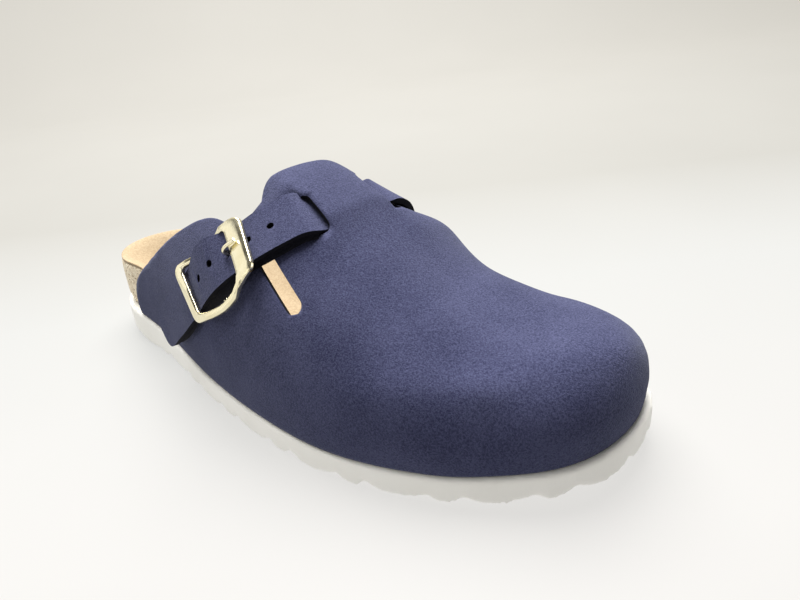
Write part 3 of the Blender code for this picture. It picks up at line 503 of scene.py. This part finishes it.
def dress_sheets(piece, outside, inside, rim):
    """Give a leather wall its three finishes: outer face, inner face, and the cut rim between them."""
    faces = piece.data.polygons
    for material in (outside, inside, rim):
        piece.data.materials.append(material)
    waiting = set(range(len(faces)))
    sheets = []
    while waiting:
        sheet = sheet_from(piece, min(waiting))
        waiting -= set(sheet)
        sheets.append(sheet)
    for sheet in sheets:
        facing = facing_out(faces, sheet)
        slot = OUTSIDE if facing > 0.0 else INSIDE
        if abs(facing) < SKIN_FACING:
            slot = RIM
        for index in sheet:
            faces[index].material_index = slot
    counts = [sum(face.material_index == slot for face in faces) for slot in (OUTSIDE, INSIDE, RIM)]
    print(piece.name, "faces outside, inside, rim:", counts)


def soften_edges(piece, width, segments, angle):
    """Round the edges sharper than an angle, and let the large faces lead the shading."""
    select_only(piece)
    bevel = piece.modifiers.new("edge", "BEVEL")
    bevel.width = width
    bevel.segments = segments
    bevel.limit_method = "ANGLE"
    bevel.angle_limit = math.radians(angle)
    bpy.ops.object.modifier_apply(modifier=bevel.name)
    even = piece.modifiers.new("even", "WEIGHTED_NORMAL")
    bpy.ops.object.modifier_apply(modifier=even.name)


def settle(piece, node):
    """Put a finished piece in its solid's place."""
    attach(piece, "root")
    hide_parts(node)
    triangles = sum(len(face.vertices) - 2 for face in piece.data.polygons)
    print(piece.name, "triangles:", triangles)


# %% [markdown]
# ## The upper
#
# The upper is one piece of nubuck: two quarters, a tongue and a closed toe. A real one is cut flat,
# lined, and pulled over a last. The solid already has that shape as a wall with an outer skin, an inner
# skin and a cut rim. So the work here is to give each skin its finish while the edges are still sharp
# enough to tell them apart, and then to subdivide, with a crease that keeps the rim from melting away.

# %% Upper
upper = copy_of("upper", "upper_leather")
crease_sharp(upper, angle=50.0, crease=0.75)
dress_sheets(upper, nubuck, inner_skin, cut_edge_and_shade)
smooth_out(upper, levels=2)

# %% [markdown]
# A long slot is cut beside the strap on the buckle side, and a slit on each side of the tongue lets the
# strap through. Such holes are stamped with round-ended dies, so the rims of the slot and of the slit
# that shows are drawn onto that outline: straight sides and half round ends. Pulling the rim's points
# there is quicker than cutting again, and leaves no new seams. Round the slits the inner skin is painted
# black with the edge finish: painted shade, so the gaps round the strap look dark.

# %% Slot and slits
# Hole table: the two ends of its middle line and the way it faces, its radius
HOLES = (
    ((-19.9, 6.7, 78.0), (-35.3, -29.4, 57.7), (-0.72, -0.10, 0.69), 3.1),
    ((-8.6, -14.2, 82.0), (-11.8, -25.0, 76.2), (-0.30, -0.35, 0.90), 2.7),
)
HOLE_NEAR = 8.5 * MM
SLITS = Vector((-10.0, -19.6, 79.0)) * MM, Vector((19.4, -24.4, 78.5)) * MM
# Reach round the slits within which the inner skin is painted black: painted shade.
SLIT_PAINTED_SHADE = 13.0 * MM


def round_hole(piece, first, last, facing, radius):
    """Draw the rim of an oblong hole onto straight sides and half round ends."""
    line = last - first
    forward = line.normalized()
    across = facing.cross(forward).normalized()
    rim = {i for face in piece.data.polygons if face.material_index == RIM for i in face.vertices}
    moved = 0
    for index in rim:
        vert = piece.data.vertices[index]
        offset = vert.co - first
        along = offset.dot(forward)
        aside = offset.dot(across)
        past_end = along - min(max(along, 0.0), line.length)
        far = math.hypot(past_end, aside)
        if 0.0 < far < HOLE_NEAR:
            pull = radius / far - 1.0
            vert.co += forward * (past_end * pull) + across * (aside * pull)
            moved += 1
    print(piece.name, "hole points rounded:", moved)


for first, last, facing, radius in HOLES:
    round_hole(upper, Vector(first) * MM, Vector(last) * MM, Vector(facing), radius * MM)
# Painted shade: inner-skin faces near the slits get the black edge finish, so the gaps round the strap
# look dark.
for face in upper.data.polygons:
    to_slit = min((face.center - slit).length for slit in SLITS)
    if face.material_index == INSIDE and to_slit < SLIT_PAINTED_SHADE:
        face.material_index = RIM

# %% [markdown]
# Nubuck pulled over a last is not smooth. It keeps a soft break where the foot bends, a low ridge round
# the toe where the stiffener ends, and shallow hollows down the side. Each is a line with a bell-shaped
# section: points near the line move outwards for a ridge, or inwards for a trough. They are placed from
# the picture, in the shoe's own sizes, because noise would put them anywhere.

# %% Creases
# Crease table: start and end in mm, half width, height (below zero for a trough)
CREASES = (
    ((18.0, -44.0, 69.0), (40.0, -43.0, 56.0), 6.0, 1.0),
    ((10.0, -62.0, 58.0), (40.0, -64.0, 46.0), 12.0, -1.2),
    ((-44.0, -60.0, 38.0), (-24.0, -97.0, 41.0), 7.0, 0.9),
    ((-24.0, -97.0, 41.0), (12.0, -127.0, 41.0), 7.0, 1.1),
    ((12.0, -127.0, 41.0), (36.0, -100.0, 41.0), 7.0, 0.8),
    ((-30.0, -98.0, 28.0), (10.0, -131.0, 28.0), 8.0, -0.9),
    ((-10.0, -52.0, 62.0), (-40.0, -56.0, 38.0), 9.0, -0.4),
    ((-12.0, -72.0, 51.0), (-40.0, -74.0, 33.0), 8.0, 0.6),
    ((-20.0, -98.0, 42.0), (-34.0, -96.0, 28.0), 9.0, -0.6),
)
SPINE = (5.0, 25.0)
CREASE_REACH = 2.5

for start, end, half_width, height in CREASES:
    start = Vector(start) * MM
    line = Vector(end) * MM - start
    for vert in upper.data.vertices:
        share = min(max((vert.co - start).dot(line) / line.length_squared, 0.0), 1.0)
        far = (vert.co - start - line * share).length / (half_width * MM)
        if far < CREASE_REACH:
            outwards = vert.co - Vector((SPINE[0] * MM, vert.co.y, SPINE[1] * MM))
            outwards.normalize()
            vert.co += outwards * (height * MM * math.exp(-far * far))
print("creases:", len(CREASES))
settle(upper, "upper")

# %% [markdown]
# ## The strap
#
# The strap is a flat band with punched holes. It comes out of the slit, runs under the buckle's two
# bars and over its axle, and ends in a rounded tail. Its solid is straight through the buckle, as a
# solid that must touch nothing has to be. The real strap has slipped up against the upper rail, and
# spreads a little where it leaves the slit, so points in those two places are moved, less and less with
# distance.

# %% Strap
BUCKLE_MIDDLE = Vector((-36.9, 9.7, 64.0)) * MM
BUCKLE_REACH = 24.0 * MM
STRAP_ALONG = Vector((-0.26, 0.74, -0.62))
BETWEEN_BARS = 14.0 * MM
STRAP_ACROSS = Vector((-0.45, -0.64, -0.62))
STRAP_WIDTH = 18.0 * MM
STRAP_SLIP = Vector((-0.3, 2.0, 2.6)) * MM
SLIT_ACROSS = Vector((-0.31, -0.82, -0.47))
SLIT_REACH = 11.0 * MM
SLIT_SPREAD = 0.2

strap = copy_of("strap", "strap_leather")
crease_sharp(strap, angle=50.0, crease=1.0)
# The strap's underside gets the black edge finish: painted shade for the gap under the strap.
dress_sheets(strap, nubuck, cut_edge_and_shade, cut_edge_and_shade)
smooth_out(strap, levels=2)
for vert in strap.data.vertices:
    offset = vert.co - BUCKLE_MIDDLE
    far = offset.dot(STRAP_ALONG) / BETWEEN_BARS
    high = min(max(0.5 - offset.dot(STRAP_ACROSS) / STRAP_WIDTH, 0.0), 1.0)
    if abs(far) < 1.0 and offset.length < BUCKLE_REACH:
        vert.co += STRAP_SLIP * (high * (1.0 - far * far) ** 2)
    offset = vert.co - SLITS[0]
    aside = offset.dot(SLIT_ACROSS)
    far = (offset - SLIT_ACROSS * aside).length / SLIT_REACH
    if far < 1.0 and abs(aside) < BUCKLE_REACH:
        vert.co += SLIT_ACROSS * (aside * SLIT_SPREAD * (1.0 - far * far) ** 2)

# %% [markdown]
# In the picture the strap's lower side shows as a wide dark band: its dark cut edge and the shadow under
# it. So its edge is cut on a slant, outwards to the underside, and the underside is painted black; the
# widened dark edge is painted shadow as well as cut edge. Only the points where that side meets the
# underside are moved, and by how much changes along the strap. A small bevel then takes the knife edge
# off, and weighted normals keep the flat faces flat.

# %% Dark edge and painted shadow of the strap
# Edge table: middle and half length along the strap, how far the dark edge with painted shadow shows, in
# mm
EDGE_SHADOW_FLARES = (
    (-27.0, 20.0, 2.4),
    (-1.0, 15.0, 4.4),
    (34.0, 16.0, 1.8),
)
LOW_FACING = 0.5

low_side = {
    index
    for face in strap.data.polygons
    if face.material_index == RIM and face.normal.dot(STRAP_ACROSS) > LOW_FACING
    for index in face.vertices
}
dark_underside = {i for face in strap.data.polygons if face.material_index == INSIDE for i in face.vertices}
# Painted shadow: the black underside is pushed out, so the dark band under the strap looks wider.
for index in low_side & dark_underside:
    vert = strap.data.vertices[index]
    along = (vert.co - BUCKLE_MIDDLE).dot(STRAP_ALONG) / MM
    for middle, half_length, width in EDGE_SHADOW_FLARES:
        far = min(abs(along - middle) / half_length, 1.0)
        vert.co += STRAP_ACROSS * (width * MM * (1.0 - far * far))
print("edge points moved:", len(low_side & dark_underside))
soften_edges(strap, width=0.35 * MM, segments=2, angle=50.0)
settle(strap, "strap")

# %% [markdown]
# ## The buckle
#
# The frame is cast in one piece, with a wide bar over the strap, a narrow rear bar and two bowed rails.
# A casting of this size has flat faces and small rounded edges, and the highlights run along those
# edges. A bevel on the solid's own edges gives that, while a subdivision surface would blow the bars up
# like a cushion. The lower rail is bowed a little further out, clear of the strap. The axle and the pin
# are round rods, so they are simply subdivided.

# %% Buckle
RAIL_SPOTS = Vector((-41.4, -6.0, 60.1)) * MM, Vector((-43.2, 3.4, 52.8)) * MM
RAIL_REACH = 13.0 * MM
RAIL_BOW = Vector((-0.8, -1.1, -1.1)) * MM

buckle = copy_of("buckle", "buckle_frame", skew=0.0)
buckle.data.materials.append(gold)
for vert in buckle.data.vertices:
    for spot in RAIL_SPOTS:
        far = min((vert.co - spot).length / RAIL_REACH, 1.0)
        vert.co += RAIL_BOW * (1.0 - far * far) ** 2
select_only(buckle)
bpy.ops.object.shade_smooth()
soften_edges(buckle, width=0.3 * MM, segments=3, angle=35.0)
settle(buckle, "buckle")

# %% Axle and pin
for node, name in (("buckle_bar", "buckle_axle"), ("buckle_prong", "buckle_pin")):
    rod = copy_of(node, name)
    rod.data.materials.append(gold)
    crease_sharp(rod, angle=40.0, crease=0.7)
    smooth_out(rod, levels=2)
    settle(rod, node)

# %% [markdown]
# ## The sole
#
# The sole is one block of moulded foam. Seen from the side its lower edge is scalloped: long and short
# lobes in turn, with a small cusp between them, where the tread runs out. That could be modelled lobe
# by lobe. Here the outline is measured instead: the underside's points are sorted by their angle round
# the sole's middle, and the farthest point in each step is the edge. Walking along that edge gives each
# point its place in a lobe. The grooves are closed at the very edge first, so that the lobes alone
# shape it. Closing them leaves folded slivers, so the block is remoulded last: a voxel remesh lays one
# clean skin over it, and a light smoothing eases the steps that voxels leave, which also rounds the
# edges as a mould does.

# %% Sole outline
SOLE_MIDDLE = (0.005, 0.0)
OUTLINE_STEPS = 240
UNDER_FACING = -0.35

sole = copy_of("outsole", "sole_foam")
sole.data.materials.append(foam)
select_only(sole)
dense = sole.modifiers.new("dense", "SUBSURF")
dense.subdivision_type = "SIMPLE"
dense.levels = 2
dense.render_levels = 2
bpy.ops.object.modifier_apply(modifier=dense.name)

places = np.array([vert.co[:] for vert in sole.data.vertices])
under = np.zeros(len(places), dtype=bool)
for face in sole.data.polygons:
    if face.normal.z < UNDER_FACING:
        under[list(face.vertices)] = True
turns = np.arctan2(places[:, 0] - SOLE_MIDDLE[0], places[:, 1] - SOLE_MIDDLE[1])
spans = np.hypot(places[:, 0] - SOLE_MIDDLE[0], places[:, 1] - SOLE_MIDDLE[1])
bins = np.linspace(-math.pi, math.pi, OUTLINE_STEPS + 1)
steps = np.clip(np.digitize(turns, bins) - 1, 0, OUTLINE_STEPS - 1)
middles = (bins[:-1] + bins[1:]) / 2
outline = np.array([spans[under & (steps == k)].max() for k in range(OUTLINE_STEPS)])
from_edge = np.interp(turns, middles, outline, period=2.0 * math.pi) - spans
print("underside points:", int(under.sum()), "of", len(places))

# %% Sole lobes
LOBES = 24.0 * MM, 12.0 * MM
LUG_STEPS = 3
CUSP_HEIGHT = 3.2 * MM
CUSP_POINT = 1.5
CUSP_DEPTH = 6.0 * MM
CUSP_REACH = 7.0 * MM
EDGE_BAND = 1.8 * MM
FOAM_SKIN = 0.9 * MM

edge_points = np.column_stack([outline * np.sin(middles), outline * np.cos(middles)])
strides = np.linalg.norm(np.roll(edge_points, -1, axis=0) - edge_points, axis=1)
walked = np.concatenate([[0.0], np.cumsum(strides)[:-1]])
pair = strides.sum() / round(strides.sum() / sum(LOBES))
along = np.interp(turns, middles, walked, period=2.0 * math.pi) % pair
split = pair * LOBES[0] / sum(LOBES)
in_lobe = np.where(along < split, along / split, (along - split) / (pair - split))
cusp = CUSP_HEIGHT * (1.0 - np.sin(math.pi * in_lobe)) ** CUSP_POINT
at_edge = under & (from_edge < CUSP_DEPTH)
lowest = np.array([places[at_edge & (steps == k), 2].min() for k in range(OUTLINE_STEPS)])
nearby = range(-LUG_STEPS, LUG_STEPS + 1)
tread = np.min([np.roll(lowest, step) for step in nearby], axis=0)
tread = np.max([np.roll(tread, step) for step in nearby], axis=0)
tread = np.interp(turns, middles, tread, period=2.0 * math.pi)
near_edge = np.clip((CUSP_DEPTH - from_edge) / (CUSP_DEPTH - EDGE_BAND), 0.0, 1.0)
low = np.clip(1.0 - (places[:, 2] - tread) / CUSP_REACH, 0.0, 1.0)
lifts = np.where(under, tread + cusp - places[:, 2], cusp * low) * near_edge
for vert, lift in zip(sole.data.vertices, lifts):
    vert.co.z += float(lift)
remould = sole.modifiers.new("remould", "REMESH")
remould.mode = "VOXEL"
remould.voxel_size = FOAM_SKIN
bpy.ops.object.modifier_apply(modifier=remould.name)
ease = sole.modifiers.new("ease", "SMOOTH")
ease.factor = 0.5
ease.iterations = 4
bpy.ops.object.modifier_apply(modifier=ease.name)
bpy.ops.object.shade_smooth()
print("lobes round the sole:", 2 * round(strides.sum() / sum(LOBES)))
settle(sole, "outsole")

# %% [markdown]
# ## The footbed
#
# Under the foot lies a block of pressed cork with a cup for the heel, and over it a thin sheet of
# suede. The cork is bare at the heel, where its side shows. Both solids only need their long curves
# smoothed, with a crease on the edges that a knife has cut.

# %% Footbed and its lining
BED_PIECES = (
    ("footbed", "cork_bed", cork, 0.8, "cork"),
    ("insole", "bed_lining", lining, 0.6, "beige_suede"),
)
for node, name, finish, crease, slot in BED_PIECES:
    bed = copy_of(node, name)
    bed.data.materials.append(finish)
    crease_sharp(bed, angle=60.0, crease=crease)
    smooth_out(bed, levels=2)
    settle(bed, node)

# %% [markdown]
# ## The paper of the sweep
#
# The paper in the picture is not evenly white: it is brightest near the camera, darker further back, and
# brighter again at the far end. Extra lamps could do that, but they would light the shoe too. So the paper
# gets a dark colour of its own and a painted glow, ramped along the way into the picture, that stands in
# for the light falling on it.

# %% Backdrop finish
INTO_PICTURE = (0.773, 0.635)
PAPER_NEAR = -0.1
PAPER_FAR = 1.1
# Paper table: share of the way into the picture, glow
PAPER_GLOW = (
    (0.0, (0.68, 0.67, 0.655)),
    (0.14, (0.585, 0.59, 0.575)),
    (0.28, (0.44, 0.43, 0.39)),
    (0.8, (0.54, 0.52, 0.47)),
)
paper, paper_tree, paper_shader = new_finish("self_lit_paper")
paper_place = put(paper_tree, "ShaderNodeTexCoord").outputs["Object"]
paper_cloud = noise(paper_tree, paper_place, 6.0, 2.0)
paper_shades = ((0.3, (0.078, 0.077, 0.075)), (0.7, (0.084, 0.083, 0.081)))
paper_colour = ramp(paper_tree, paper_cloud, paper_shades)
paper_tree.links.new(paper_colour, paper_shader.inputs["Base Color"])
paper_shader.inputs["Roughness"].default_value = 0.8
behind = put(paper_tree, "ShaderNodeVectorMath", {"operation": "DOT_PRODUCT"})
behind.inputs[1].default_value = (*INTO_PICTURE, 0.0)
paper_tree.links.new(paper_place, behind.inputs[0])
distance = stretch(paper_tree, behind.outputs["Value"], PAPER_NEAR, PAPER_FAR)
# Painted light: the paper glows, lighter and darker along the way into the picture, in place of lamp light
# on it.
glow = ramp(paper_tree, distance, PAPER_GLOW)
paper_tree.links.new(glow, paper_shader.inputs["Emission Color"])
paper_shader.inputs["Emission Strength"].default_value = 1.0
sweep.data.materials.append(paper)
print("paper glow stops:", len(PAPER_GLOW))
